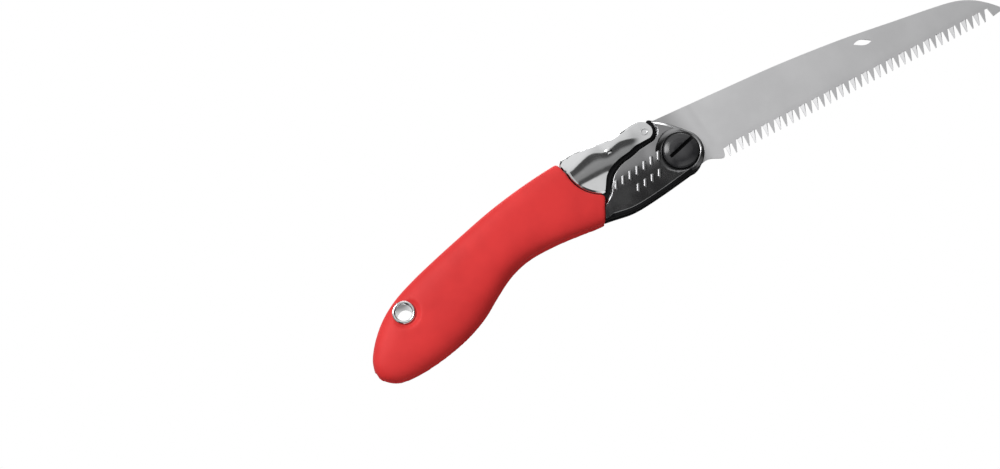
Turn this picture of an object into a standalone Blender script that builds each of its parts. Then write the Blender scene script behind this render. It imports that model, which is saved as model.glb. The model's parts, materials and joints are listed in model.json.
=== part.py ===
"""Folding pull saw: toothed blade, boxed bolster with a coin-slot pivot bolt, a sprung lock
lever over the spine, and a one-piece rubber grip round a riveted steel frame.

The saw lies in the XZ plane. +X runs towards the blade's tip, +Z towards its spine, and the
slotted head of the pivot bolt faces -Y. The world's origin is the middle of the hand grip.
Every size below is in millimetres, measured from the blade's pivot; the mesh helpers turn
them into metres.
"""

from math import cos, hypot, radians, sin

import bmesh
import bpy
from mathutils import Vector

MM = 0.001
PIVOT_FROM_GRIP = 110.0  # how far the blade's pivot lies ahead of the middle of the grip
CLEAR = 0.3  # gap between neighbouring pieces
RUN = 0.15  # gap where one piece turns or slides against another
ROUND_STEPS = 40
PIN_STEPS = 24
REACH = 20.0  # how far a cutter runs out past the saw

# Blade
BLADE_THICK = 1.1
TOOTH_PITCH = 3.75
TOOTH_COUNT = 42
FIRST_TOOTH_X = 22.9
TOOTH_TIP_Z = -13.3
GULLET_Z = -7.1
TANG_R = 19.4
LOCK_NOTCHES = (123.3, 143.3)  # degrees round the tang: the open position, and 20 degrees lower
NOTCH_R = 1.8

# Layers out from the blade, as distances from the middle plane
WASHER = (0.70, 1.20)
FRAME = (1.35, 2.35)
PLATE_BASE = (2.5, 5.2)
PLATE_TOP = 7.0
PANEL_FOOT = 5.6  # where the raised panel's edge starts to round over
DISH_FLOOR = 5.6
CHEEK = (5.4, 6.7)

# Pivot
BUSH_R = 5.5
BOLT_R = 3.9
HEAD_R = 9.2
HEAD_TOP = 9.8
COIN_SLOT = (1.8, 1.5)  # width, depth
COIN_SLOT_TURN = 12.0  # degrees
DISH_R = 10.6

# Lock lever, which rocks on the lever pin and carries the lock pin at its front
LEVER_PIN = (-33.1, 17.3)
LOCK_PIN = (-11.7, 17.8)
PIN_R = 1.5
LUG_R = 4.3
LEVER_ARC = (-38.0, 16.5)  # centre of the lever's round rear edge
LEVER_ARC_R = 19.3
SHEET = 1.3

# Handle
GRIP_RING = 32  # points round the grip
SQUARENESS = 2.6  # 2 is an ellipse; more is squarer
GRIP_AT_EYELET = 9.6  # where the dish round the eyelet bottoms out
STOP_PIN = (-20.7, 11.4)
SEAT_RIVET = (-43.0, 12.0)
SPINE_RIVETS = {"front": (-72.0, 16.6), "rear": (-143.0, 1.3)}
EYELET = (-165.0, -8.5)
EYELET_R = 4.2  # its bore, which is the hole that the saw hangs by
EYELET_WALL = 0.45
EYELET_FLANGE_R = 5.9
SPACER = 1.05  # half thickness of what fills the slot between the two frame plates

STEEL = {"colour": (0.42, 0.43, 0.45, 1), "metallic": 1.0, "roughness": 0.38}
CHROME = {"colour": (0.62, 0.63, 0.64, 1), "metallic": 1.0, "roughness": 0.10}
BLACK = {"colour": (0.045, 0.047, 0.05, 1), "metallic": 0.9, "roughness": 0.24}
BRASS = {"colour": (0.62, 0.45, 0.20, 1), "metallic": 1.0, "roughness": 0.35}
RUBBER = {"colour": (0.68, 0.045, 0.045, 1), "metallic": 0.0, "roughness": 0.55}


# ---- outlines and curves -------------------------------------------------------------------

def arc(centre, radius, start, end, steps):
    """Points on a circle in the XZ plane, by angle in degrees from +X towards +Z."""
    turns = [radians(start + (end - start) * i / steps) for i in range(steps + 1)]
    return [(centre[0] + radius * cos(t), centre[1] + radius * sin(t)) for t in turns]


def smooth(points, steps):
    """A curve through the points, with `steps` straight pieces between one and the next."""
    ends = [points[0], *points, points[-1]]
    out = []
    for i in range(len(points) - 1):
        a, b, c, d = (Vector(p) for p in ends[i:i + 4])
        for k in range(steps):
            t = k / steps
            out.append(tuple(0.5 * (2 * b + (c - a) * t + (2 * a - 5 * b + 4 * c - d) * t * t
                                    + (3 * b - a - 3 * c + d) * t ** 3)))
    return out + [tuple(points[-1])]


def strip(line, thick):
    """The outline of a bent strip that follows the line."""
    sides = ([], [])
    for i, (x, z) in enumerate(line):
        x0, z0 = line[max(i - 1, 0)]
        x1, z1 = line[min(i + 1, len(line) - 1)]
        run = hypot(x1 - x0, z1 - z0)
        nx, nz = -(z1 - z0) / run * thick / 2, (x1 - x0) / run * thick / 2
        sides[0].append((x + nx, z + nz))
        sides[1].append((x - nx, z - nz))
    return sides[0] + sides[1][::-1]


# ---- mesh helpers --------------------------------------------------------------------------

def finish(name, bm, look, helper=False):
    bmesh.ops.recalc_face_normals(bm, faces=bm.faces)
    mesh = bpy.data.meshes.new(name)
    bm.to_mesh(mesh)
    bm.free()
    mesh.shade_smooth()
    mesh.set_sharp_from_angle(angle=radians(32))
    obj = bpy.data.objects.new(name, mesh)
    bpy.context.scene.collection.objects.link(obj)
    if helper:
        obj.hide_render = True
        obj.display_type = "WIRE"
    else:
        mesh.materials.append(material(name, **look))
    return obj


def material(name, colour, metallic, roughness):
    made = bpy.data.materials.new(name)
    made.use_nodes = True
    shader = made.node_tree.nodes["Principled BSDF"]
    shader.inputs["Base Color"].default_value = colour
    shader.inputs["Metallic"].default_value = metallic
    shader.inputs["Roughness"].default_value = roughness
    return made


def ring_of(bm, outline, y):
    return [bm.verts.new((x * MM, y * MM, z * MM)) for x, z in outline]


def bridge(bm, first, second):
    count = len(first)
    for i in range(count):
        j = (i + 1) % count
        bm.faces.new((first[i], first[j], second[j], second[i]))


def stack(name, layers, look=None, helper=False):
    """A solid through layers of (y, outline), all with the same number of points."""
    bm = bmesh.new()
    rings = [ring_of(bm, outline, y) for y, outline in layers]
    for first, second in zip(rings, rings[1:]):
        bridge(bm, first, second)
    bm.faces.new(rings[0])
    bm.faces.new(rings[-1][::-1])
    return finish(name, bm, look, helper)


def plate(name, outline, y0, y1, look=None, helper=False):
    return stack(name, [(y, outline) for y in sorted((y0, y1))], look, helper)


def turned(name, centre, profile, look=None, helper=False, steps=ROUND_STEPS):
    """A solid of revolution about the Y axis through centre, from (radius, y) points."""
    bm = bmesh.new()
    rings = []
    for radius, y in profile:
        rings.append(ring_of(bm, arc(centre, radius, 0, 360 - 360 / steps, steps - 1), y))
    for first, second in zip(rings, rings[1:]):
        bridge(bm, first, second)
    if profile[0] == profile[-1]:
        bmesh.ops.remove_doubles(bm, verts=bm.verts, dist=1e-7)
    else:
        bm.faces.new(rings[0])
        bm.faces.new(rings[-1][::-1])
    return finish(name, bm, look, helper)


def rod(name, centre, radius, y0, y1, look=None, helper=False, steps=ROUND_STEPS):
    return turned(name, centre, [(radius, y0), (radius, y1)], look, helper, steps)


def tube(name, centre, inner, outer, y0, y1, look):
    profile = [(outer, y0), (outer, y1), (inner, y1), (inner, y0), (outer, y0)]
    return turned(name, centre, profile, look)


def change(obj, other, operation):
    modifier = obj.modifiers.new(other.name, "BOOLEAN")
    modifier.operation = operation
    modifier.object = other


def cut(obj, *cutters):
    for cutter in cutters:
        change(obj, cutter, "DIFFERENCE")


def join(obj, *others):
    for other in others:
        change(obj, other, "UNION")


def bore(obj, centre, radius, steps=ROUND_STEPS):
    name = f"{obj.name}_bore_{abs(round(centre[0]))}"
    cut(obj, rod(name, centre, radius, -REACH, REACH, helper=True, steps=steps))


# ---- blade ---------------------------------------------------------------------------------

def tooth_edge():
    """The toothed edge from its front end to its heel; each tooth leans back to the hand."""
    points = []
    for i in reversed(range(TOOTH_COUNT)):
        x = FIRST_TOOTH_X + TOOTH_PITCH * i
        points += [(x + 2.9, GULLET_Z), (x + 0.2, TOOTH_TIP_Z), (x - 0.2, TOOTH_TIP_Z),
                   (x - 0.1, GULLET_Z)]
    return points


def blade():
    spine = [(-4.6, 21.9), (35.8, 19.8), (69.6, 17.7), (103.0, 14.3), (133.0, 9.9),
             (157.0, 6.3), (168.5, 3.9), (176.5, 0.3), (182.8, -4.6), (187.6, -9.7)]
    nose = [(187.0, -11.6), (182.2, -12.4), (181.3, GULLET_Z)]
    heel = [(21.4, -8.2), (20.2, -12.0), (18.2, -12.4), (11.6, -9.6), (4.0, -10.8),
            (-6.0, -11.9), (-12.0, -12.1)]
    tang = arc((0, 0), TANG_R, 213, 105, 24)
    outline = smooth(spine, 5) + nose + tooth_edge() + heel + tang
    body = plate("blade", outline, -BLADE_THICK / 2, BLADE_THICK / 2, STEEL)
    bore(body, (0, 0), BUSH_R + RUN)
    for turn in LOCK_NOTCHES:
        centre = arc((0, 0), TANG_R, turn, turn, 1)[0]
        bore(body, centre, NOTCH_R)
    tip_hole = strip(smooth([(109.3, 8.2), (111.4, 8.1), (116.4, 7.2), (118.6, 6.5)], 3), 2.4)
    cut(body, plate("blade_tip_hole", tip_hole, -3, 3, helper=True))
    return [body]


# ---- pivot ---------------------------------------------------------------------------------

def head_profile(base):
    """A button head from its edge at the dish floor to its slightly crowned top."""
    top = HEAD_TOP
    return [(HEAD_R, base), (HEAD_R, top - 1.9), (HEAD_R - 0.5, top - 0.9),
            (HEAD_R - 1.6, top - 0.25), (HEAD_R - 3.4, top)]


def pivot_parts():
    seat = DISH_FLOOR + RUN
    head = [(r, -y) for r, y in reversed(head_profile(seat))]
    bolt = turned("pivot_bolt", (0, 0), head + [(BOLT_R, -seat), (BOLT_R, HEAD_TOP - 0.4)], BLACK)
    width, depth = COIN_SLOT
    turn = radians(COIN_SLOT_TURN)
    along, across = (cos(turn), sin(turn)), (-sin(turn), cos(turn))
    corners = [(REACH, width / 2), (-REACH, width / 2), (-REACH, -width / 2),
               (REACH, -width / 2)]
    slot = [(u * along[0] + v * across[0], u * along[1] + v * across[1]) for u, v in corners]
    cut(bolt, plate("coin_slot", slot, -REACH, -(HEAD_TOP - depth), helper=True))

    spring = (seat, seat + 0.5)
    nut_base = spring[1] + RUN
    outer = head_profile(nut_base)
    nut_bore = [(BOLT_R + RUN, HEAD_TOP), (BOLT_R + RUN, nut_base)]
    nut = turned("pivot_nut", (0, 0), outer + nut_bore + [outer[0]], BLACK)
    bush_end = FRAME[0] - 0.1
    return [
        bolt, nut,
        tube("spring_washer", (0, 0), BOLT_R + RUN, 7.4, *spring, STEEL),
        tube("pivot_bush", (0, 0), BOLT_R + RUN, BUSH_R, -bush_end, bush_end, BRASS),
        tube("thrust_washer_near", (0, 0), BUSH_R + RUN, 9.4, -WASHER[1], -WASHER[0], BRASS),
        tube("thrust_washer_far", (0, 0), BUSH_R + RUN, 9.4, WASHER[0], WASHER[1], BRASS),
    ]


# ---- bolster: a boxed black plate on each side ---------------------------------------------

def plate_outline():
    nose = arc((0.4, -0.6), 11.9, -60, 38, 16)
    front = [(6.4, 10.7), (1.6, 15.8), (-3.3, 19.8), (-6.4, 22.3), (-7.4, 22.6)]
    under_lever = [(-9.2, 21.4), (-12.0, 21.2), (-20.0, 20.9), (-33.0, 20.3), (-46.0, 20.2),
                   (-56.6, 20.0)]
    rear = arc(LEVER_ARC, LEVER_ARC_R + 0.4, 180, 244, 10)
    grip_side = [(-45.8, -3.6), (-48.5, -7.9), (-50.2, -11.3), (-51.3, -13.7)]
    bottom = [(-46.0, -14.5), (-38.0, -15.9), (-32.0, -16.1), (-25.0, -15.6), (-16.0, -14.6),
              (-7.0, -13.4), (0.5, -12.3)]
    return nose + front + under_lever + rear + grip_side + bottom


def panel_outline(inset):
    """The raised panel round the lever's recess, its edges pulled in by the inset."""
    nose = arc((0.4, -0.6), 11.7 - inset, -60, 38, 16)
    slope = 0.72 * inset
    front = [(x - slope, z - slope) for x, z in [(6.2, 10.6), (1.4, 15.6), (-3.4, 19.5)]]
    corner = [(LOCK_PIN[0] + LUG_R + 1.2 + 0.8 * inset, 21.8 - 1.3 * inset)]
    lug = arc(LOCK_PIN, LUG_R + 1.2 + inset, -2, -82, 8)
    band = [(-18.7, 11.6 - inset), (-24.6, 10.1 - inset), (-29.0, 9.5 - inset),
            (-33.0, 8.2 - inset), (-36.4, 6.3 - inset), (-38.9, 4.0 - inset),
            (-40.9, 1.2 - inset), (-42.6, -1.6 - inset), (-45.2, -4.1 - 0.6 * inset)]
    rear = [(-48.1 + 0.6 * inset, -7.9), (-50.0 + 0.6 * inset, -11.2),
            (-51.0 + 0.8 * inset, -13.4 + inset)]
    bottom = [(-46.0, -14.2 + inset), (-38.0, -15.6 + inset), (-32.0, -15.8 + inset),
              (-25.0, -15.3 + inset), (-16.0, -14.3 + inset), (-7.0, -13.1 + inset),
              (0.5, -12.0 + inset)]
    return nose + front + corner + lug + band + rear + bottom


def side_plate(side, sign):
    inner, outer = (sign * y for y in PLATE_BASE)
    base = plate(f"side_plate_{side}", plate_outline(), inner, outer, BLACK)
    layers = [(PLATE_BASE[1] - 0.6, 0.0), (PANEL_FOOT, 0.0), (PLATE_TOP - 0.5, 0.8),
              (PLATE_TOP, 1.5)]
    join(base, stack(f"panel_{side}", [(sign * y, panel_outline(i)) for y, i in layers],
                     helper=True))
    dish = [(DISH_R - 0.8, sign * DISH_FLOOR), (DISH_R, sign * (DISH_FLOOR + 0.5)),
            (DISH_R + 0.7, sign * 9.0)]
    hollow = [(-14.5, 8.4), (-26.0, 6.6), (-33.5, 4.0), (-38.5, -1.5), (-44.0, -7.6),
              (-46.5, -11.2), (-33.0, -13.0), (-14.5, -11.4)]
    pin_gate = arc(LOCK_PIN, PIN_R + 0.4, 180, 360, 12) + [(-9.8, 30.0), (-13.6, 30.0)]
    cut(
        base,
        turned(f"dish_{side}", (0, 0), dish, helper=True),
        rod(f"bolt_way_{side}", (0, 0), BOLT_R + RUN, -REACH, REACH, helper=True),
        rod(f"lever_pin_way_{side}", LEVER_PIN, PIN_R + RUN, -REACH, REACH, helper=True),
        plate(f"hollow_{side}", hollow, 0.0, sign * (PLATE_TOP - 1.5), helper=True),
        plate(f"pin_gate_{side}", pin_gate, -REACH, REACH, helper=True),
    )
    return base


# ---- lock lever ----------------------------------------------------------------------------

def lever_top():
    return smooth([(-57.2, 24.5), (-47.8, 24.9), (-39.6, 24.0), (-30.4, 22.8), (-25.0, 23.0),
                   (-18.2, 24.0), (-11.8, 24.3), (-9.6, 23.3)], 3)


def lever_parts():
    lug = arc(LOCK_PIN, LUG_R, 30, -80, 10)
    lower = [(-18.8, 13.4), (-23.7, 12.1), (-28.7, 11.4), (-33.6, 10.1), (-37.6, 8.1),
             (-40.3, 5.8), (-42.9, 1.9), (-44.8, -1.0)]
    rear = arc(LEVER_ARC, LEVER_ARC_R, 245, 180, 14) + [(-58.4, 21.5), (-58.3, 23.4)]
    outline = lever_top() + lug + lower + rear
    lever = plate("lock_lever", outline, -CHEEK[1], CHEEK[1], CHROME)
    bend = lever.modifiers.new("rounded_spine", "BEVEL")
    bend.limit_method = "WEIGHT"
    bend.width = 2.2 * MM
    bend.segments = 4
    weigh_spine_edges(lever)
    low_top = [(x, z - SHEET) for x, z in lever_top()]
    inside = [(-70.0, low_top[0][1])] + low_top + [(0.0, low_top[-1][1]), (0.0, -20.0),
                                                   (-70.0, -20.0)]
    cut(lever, plate("lever_inside", inside, -CHEEK[0], CHEEK[0], helper=True))
    bore(lever, LEVER_PIN, PIN_R + RUN)
    bore(lever, LOCK_PIN, PIN_R + RUN)
    return [
        lever,
        cross_pin("lever_pin", LEVER_PIN, CHEEK[1] + RUN, 1.8, 0.8),
        cross_pin("lock_pin", LOCK_PIN, CHEEK[1] + RUN, 2.1, 0.6),
        lever_spring(),
    ]


def weigh_spine_edges(lever):
    """Marks the side edges along the lever's top, which the Bevel then rounds."""
    mesh = lever.data
    weights = mesh.attributes.new("bevel_weight_edge", "FLOAT", "EDGE")
    for edge in mesh.edges:
        ends = [mesh.vertices[v].co for v in edge.vertices]
        level = abs(ends[0].y - ends[1].y) < 1e-6
        if level and min(end.z for end in ends) > 22.5 * MM:
            weights.data[edge.index].value = 1.0


def cross_pin(name, centre, half, head_r, head):
    """A pin through both sides with a low domed head at each end."""
    end = half + head
    side = [(PIN_R, half), (head_r, half), (head_r, half + 0.45 * head),
            (0.75 * head_r, end - 0.1 * head), (0.4 * head_r, end)]
    profile = [(r, -y) for r, y in reversed(side)] + side
    return turned(name, centre, profile, CHROME, steps=PIN_STEPS)


def lever_spring():
    line = smooth([(-40.2, 14.6), (-43.5, 16.0), (-47.0, 17.0), (-50.5, 18.6), (-53.2, 21.3),
                   (-54.6, 22.6), (-56.0, 22.3)], 4)
    return plate("lever_spring", strip(line, 0.6), -SPACER, SPACER, STEEL)


# ---- handle frame --------------------------------------------------------------------------

def frame_top():
    return [(-8.0, 13.6), (-15.0, 14.6), (-24.0, 19.4), (-34.0, 20.2), (-58.0, 19.8),
            (-64.0, 20.2), (-80.0, 18.6), (-101.0, 15.2), (-121.0, 10.6), (-139.0, 6.0),
            (-152.0, 2.0), (-163.0, -1.8), (-173.0, -8.0), (-180.0, -14.6), (-185.6, -21.6)]


def frame_outline():
    butt = [(-186.6, -28.0), (-184.4, -32.2), (-179.0, -34.0)]
    bottom = [(-170.0, -34.4), (-157.0, -33.2), (-143.5, -30.4), (-131.0, -25.8),
              (-120.0, -19.0), (-108.5, -12.6), (-95.0, -9.0), (-77.0, -8.8), (-60.0, -10.2),
              (-40.0, -11.4), (-20.0, -11.2), (-8.0, -10.6)]
    nose = arc((0, 0), 10.4, 250, 450, 20)
    return frame_top() + butt + bottom + nose


def frame_plate(side, sign):
    body = plate(f"frame_{side}", frame_outline(), sign * FRAME[0], sign * FRAME[1], STEEL)
    bore(body, (0, 0), BOLT_R + RUN)
    bore(body, EYELET, EYELET_R + EYELET_WALL + CLEAR)
    for centre in (LEVER_PIN, STOP_PIN, SEAT_RIVET, *SPINE_RIVETS.values()):
        bore(body, centre, PIN_R + RUN, steps=PIN_STEPS)
    return body


def back_spacer():
    """The bar between the frame plates along the back, above the folded blade's teeth."""
    top = [(x, z - 0.6) for x, z in frame_top() if -152.0 <= x <= -64.0]
    bottom = [(x, z - 6.4) for x, z in reversed(top)]
    bar = plate("back_spacer", top + bottom, -SPACER, SPACER, STEEL)
    for centre in SPINE_RIVETS.values():
        bore(bar, centre, PIN_R + RUN, steps=PIN_STEPS)
    return bar


def spring_seat():
    outline = [(-47.5, 9.4), (-38.0, 9.4), (-38.0, 14.4), (-40.5, 13.7), (-43.8, 15.0),
               (-47.5, 16.2)]
    seat = plate("spring_seat", outline, -SPACER, SPACER, STEEL)
    bore(seat, SEAT_RIVET, PIN_R + RUN, steps=PIN_STEPS)
    return seat


def frame_parts():
    pins = {"stop_pin": STOP_PIN, "seat_rivet": SEAT_RIVET}
    pins.update({f"spine_rivet_{end}": place for end, place in SPINE_RIVETS.items()})
    flush = [rod(name, at, PIN_R, -FRAME[1], FRAME[1], STEEL, steps=PIN_STEPS)
             for name, at in pins.items()]
    return [frame_plate("near", -1), frame_plate("far", 1), back_spacer(), spring_seat(), *flush]


# ---- grip ----------------------------------------------------------------------------------

def grip_sections():
    """Pairs of points on the grip's back and belly, with its half width there."""
    back = [(-43.0, 25.0), (-60.0, 24.4), (-80.0, 22.4), (-101.0, 18.9), (-121.0, 14.1),
            (-139.0, 9.4), (-154.0, 5.0), (-166.0, 0.4), (-176.0, -5.6), (-184.0, -13.0),
            (-189.2, -20.5), (-191.3, -26.5)]
    belly = [(-43.0, -15.6), (-60.0, -14.4), (-77.0, -12.7), (-94.0, -12.8), (-107.0, -16.4),
             (-118.5, -22.8), (-129.5, -29.6), (-143.0, -34.2), (-158.0, -37.1),
             (-172.0, -38.3), (-182.5, -37.4), (-188.2, -34.4)]
    half = [(8.8, 0), (9.4, 0), (10.6, 0), (11.6, 0), (12.1, 0), (12.2, 0), (12.1, 0),
            (11.9, 0), (11.4, 0), (10.3, 0), (8.3, 0), (5.6, 0)]
    return zip(smooth(back, 3), smooth(belly, 3), smooth(half, 3))


def grip_body():
    """The outer shape, lofted through rounded sections from the bolster to the butt."""
    bm = bmesh.new()
    rings = []
    for (bx, bz), (ex, ez), (half, _) in grip_sections():
        ring = []
        for k in range(GRIP_RING):
            turn = 2 * k / GRIP_RING * radians(180)
            side = abs(sin(turn)) ** (2 / SQUARENESS) * (1 if sin(turn) >= 0 else -1)
            up = abs(cos(turn)) ** (2 / SQUARENESS) * (1 if cos(turn) >= 0 else -1)
            x = (bx + ex) / 2 + (bx - ex) / 2 * up
            z = (bz + ez) / 2 + (bz - ez) / 2 * up
            ring.append(bm.verts.new((x * MM, half * side * MM, z * MM)))
        rings.append(ring)
    for first, second in zip(rings, rings[1:]):
        bridge(bm, first, second)
    bm.faces.new(rings[0])
    bm.faces.new(rings[-1][::-1])
    return finish("rubber_grip", bm, RUBBER)


def grip():
    body = grip_body()
    scallop = arc(LEVER_ARC, LEVER_ARC_R + 1.2, 180, 244, 16)
    front = [(-40.0, 40.0), (-60.6, 40.0), (-60.0, 24.0), *scallop, (-46.5, -3.4),
             (-49.1, -7.9), (-50.9, -11.4), (-54.0, -17.5), (-55.0, -30.0), (-40.0, -30.0)]
    opening = [(-220.0, -40.0), (-220.0, -70.0), (-20.0, -70.0), (-20.0, 20.2)]
    pocket = [(x, z + CLEAR) for x, z in frame_top() if x < -50.0] + [(-188.4, -27.0)]
    slot = FRAME[1] + RUN
    cut(
        body,
        plate("grip_front", front, -REACH, REACH, helper=True),
        plate("grip_slot", pocket + opening, -slot, slot, helper=True),
        rod("eyelet_way", EYELET, EYELET_R + EYELET_WALL + CLEAR, -REACH, REACH, helper=True),
    )
    for sign in (-1, 1):
        dish = [(6.6, sign * GRIP_AT_EYELET), (9.2, sign * (GRIP_AT_EYELET + 2.2))]
        cut(body, turned(f"eyelet_dish_{sign + 1}", EYELET, dish, helper=True))
    return body


def eyelet():
    """A rolled tube through the grip, with a round flange in the dish on each side."""
    wall, flange = EYELET_R + EYELET_WALL, EYELET_FLANGE_R
    base = GRIP_AT_EYELET + RUN
    right = [(wall, base), (flange, base), (flange, base + 0.35), (wall + 0.2, base + 0.9),
             (EYELET_R, base + 0.5)]
    left = [(r, -y) for r, y in reversed(right)]
    return turned("eyelet", EYELET, right + left + [right[0]], CHROME, steps=32)


# ---- the whole saw -------------------------------------------------------------------------

def hinge_empty(name, place, root):
    empty = bpy.data.objects.new(name, None)
    bpy.context.scene.collection.objects.link(empty)
    empty.parent = root
    empty.location = (place[0] * MM, 0, place[1] * MM)
    return empty


def hang(objects, parent, place):
    """Parents the objects to a hinge and keeps them where they were drawn."""
    for obj in objects:
        obj.parent = parent
        obj.location = (-place[0] * MM, 0, -place[1] * MM)


def main():
    for old in list(bpy.data.objects):
        bpy.data.objects.remove(old)
    root = hinge_empty("saw", (PIVOT_FROM_GRIP, 0), None)
    lever, lever_pin, lock_pin, spring = lever_parts()
    fixed = [side_plate("near", -1), side_plate("far", 1), *pivot_parts(), *frame_parts(),
             grip(), eyelet(), lever_pin, spring]
    hang(fixed, root, (0, 0))
    hang(blade(), hinge_empty("blade_fold", (0, 0), root), (0, 0))
    hang([lever, lock_pin], hinge_empty("lever_rock", LEVER_PIN, root), LEVER_PIN)
    for helper in bpy.data.objects:
        if helper.display_type == "WIRE":
            helper.parent = root


main()
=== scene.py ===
# %% [markdown]
# # A folding pull saw
#
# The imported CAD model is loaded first. It says where every piece is and what it moves with, and no
# cell below moves or reshapes it. The pieces inside keep their CAD shape and get a better finish.
# The pieces that a buyer looks at are modelled again with finer detail.

# %% Load the frame
import json
from math import cos, pi, radians, sin

import bmesh
import bpy
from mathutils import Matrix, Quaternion, Vector


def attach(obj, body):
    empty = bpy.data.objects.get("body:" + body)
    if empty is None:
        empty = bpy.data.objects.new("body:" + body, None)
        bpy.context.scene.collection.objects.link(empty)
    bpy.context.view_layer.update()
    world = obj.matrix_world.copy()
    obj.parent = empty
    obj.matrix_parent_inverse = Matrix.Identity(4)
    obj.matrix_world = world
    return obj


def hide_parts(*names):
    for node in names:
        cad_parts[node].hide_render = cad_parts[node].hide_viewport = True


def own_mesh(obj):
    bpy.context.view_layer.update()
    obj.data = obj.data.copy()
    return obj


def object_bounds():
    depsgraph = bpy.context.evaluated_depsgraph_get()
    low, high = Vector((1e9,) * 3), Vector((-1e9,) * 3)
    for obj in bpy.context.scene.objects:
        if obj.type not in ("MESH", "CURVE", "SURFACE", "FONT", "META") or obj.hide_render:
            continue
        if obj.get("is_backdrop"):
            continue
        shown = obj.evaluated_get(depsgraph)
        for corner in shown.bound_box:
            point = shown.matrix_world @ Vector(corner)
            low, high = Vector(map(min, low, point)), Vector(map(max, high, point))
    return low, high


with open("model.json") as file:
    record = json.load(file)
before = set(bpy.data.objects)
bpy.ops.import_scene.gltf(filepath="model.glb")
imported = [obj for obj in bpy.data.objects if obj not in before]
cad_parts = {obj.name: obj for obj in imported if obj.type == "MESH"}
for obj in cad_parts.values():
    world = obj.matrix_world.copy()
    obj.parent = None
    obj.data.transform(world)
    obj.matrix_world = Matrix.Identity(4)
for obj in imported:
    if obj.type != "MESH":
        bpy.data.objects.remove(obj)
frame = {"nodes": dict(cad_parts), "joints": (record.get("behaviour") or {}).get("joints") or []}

cad_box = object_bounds()
print("CAD nodes:", len(frame["nodes"]))

# %% [markdown]
# ## Measuring from the pivot
#
# A saw like this is drawn from the hole that the blade turns on, so every size below is in
# millimetres from that pivot: x runs towards the blade's tip, z towards its spine and y through
# its thickness, with the slotted bolt head on the negative side. `spot` turns such a place into
# metres in the scene.

# %% Places on the saw
MM = 0.001
PIVOT = Vector(next(j["pos_m"] for j in frame["joints"] if j["name"] == "blade_fold"))


def spot(x, z, y=0.0):
    """A place on the saw, from millimetres off the blade's pivot."""
    return PIVOT + Vector((x, y, z)) * MM


def curve(points, steps):
    """A smooth line through the points, with some steps between one and the next."""
    ends = [points[0], *points, points[-1]]
    line = []
    for i in range(len(points) - 1):
        a, b, c, d = (Vector(p) for p in ends[i:i + 4])
        for t in (k / steps for k in range(steps)):
            line.append(0.5 * (2 * b + (c - a) * t + (2 * a - 5 * b + 4 * c - d) * t ** 2
                               + (3 * b - a - 3 * c + d) * t ** 3))
    return [tuple(p) for p in line] + [tuple(points[-1])]


def arc(centre, radius, start, end, steps):
    """Places on a circle, by angle in degrees from +x towards +z."""
    turns = [radians(start + (end - start) * i / steps) for i in range(steps + 1)]
    return [(centre[0] + radius * cos(t), centre[1] + radius * sin(t)) for t in turns]


print("pivot at", tuple(round(v, 4) for v in PIVOT))

# %% [markdown]
# ## Tools for plate work and turned work
#
# Nearly everything here is cut from plate or turned on a lathe. A plate is one flat face, extruded
# to its thickness. A turned piece is half its outline, spun round its axis with `use_merge`, so
# that the seam closes. Cuts and joins use the Boolean modifier, because it keeps both shapes
# closed; its result is taken back into a bmesh, so that bevels can follow.

# %% Plate, lathe and joinery helpers
def flat(bm, outline, y):
    """One flat face through an outline's places."""
    return bm.faces.new([bm.verts.new(spot(x, z, y)) for x, z in outline])


def pull(bm, faces, depth):
    """Extrudes faces through the saw's thickness by a depth in millimetres."""
    made = bmesh.ops.extrude_face_region(bm, geom=faces)["geom"]
    verts = [g for g in made if isinstance(g, bmesh.types.BMVert)]
    bmesh.ops.translate(bm, verts=verts, vec=(0, depth * MM, 0))


def slab(outline, y0, y1):
    """A plate between two distances from the saw's middle plane."""
    bm = bmesh.new()
    pull(bm, [flat(bm, outline, y0)], y1 - y0)
    bmesh.ops.recalc_face_normals(bm, faces=bm.faces)
    return bm


def turned(centre, profile, ring=False, steps=72):
    """Spins a line of (radius, y) points round the Y axis through the centre."""
    bm = bmesh.new()
    verts = [bm.verts.new(spot(centre[0] + r, centre[1], y)) for r, y in profile]
    ends = list(zip(verts, verts[1:] + verts[:1])) if ring else list(zip(verts, verts[1:]))
    edges = [bm.edges.new(pair) for pair in ends]
    bmesh.ops.spin(bm, geom=verts + edges, cent=spot(*centre), axis=(0, 1, 0), angle=2 * pi,
                   steps=steps, use_merge=True)
    bmesh.ops.remove_doubles(bm, verts=bm.verts, dist=1e-7)
    bmesh.ops.recalc_face_normals(bm, faces=bm.faces)
    return bm


def soften(bm, edges, width, segments=3, clamp=True):
    """Rounds edges over by a width in millimetres, or chamfers them with one segment."""
    return bmesh.ops.bevel(bm, geom=edges, offset=width * MM, offset_type="OFFSET",
                           affect="EDGES", segments=segments, profile=0.5, material=-1,
                           clamp_overlap=clamp, loop_slide=True)


def slice_at(bm, places, normal, faces=None):
    """Adds a line of edges across the faces at each place, so that they can be curved later."""
    for at in places:
        found = faces(bm) if faces else bm.faces
        geom = list({g for f in found for g in (f, *f.edges, *f.verts)})
        bmesh.ops.bisect_plane(bm, geom=geom, plane_co=at, plane_no=normal, dist=1e-7)


def as_object(bm, name="blank"):
    mesh = bpy.data.meshes.new(name)
    bm.to_mesh(mesh)
    bm.free()
    obj = bpy.data.objects.new(name, mesh)
    bpy.context.scene.collection.objects.link(obj)
    return obj


def settled(obj):
    """An object's mesh with its modifiers applied, as a bmesh; the object is removed."""
    bpy.context.view_layer.update()
    done = obj.evaluated_get(bpy.context.evaluated_depsgraph_get())
    bm = bmesh.new()
    bm.from_mesh(done.to_mesh())
    done.to_mesh_clear()
    mesh = obj.data
    bpy.data.objects.remove(obj)
    bpy.data.meshes.remove(mesh)
    return bm


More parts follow.
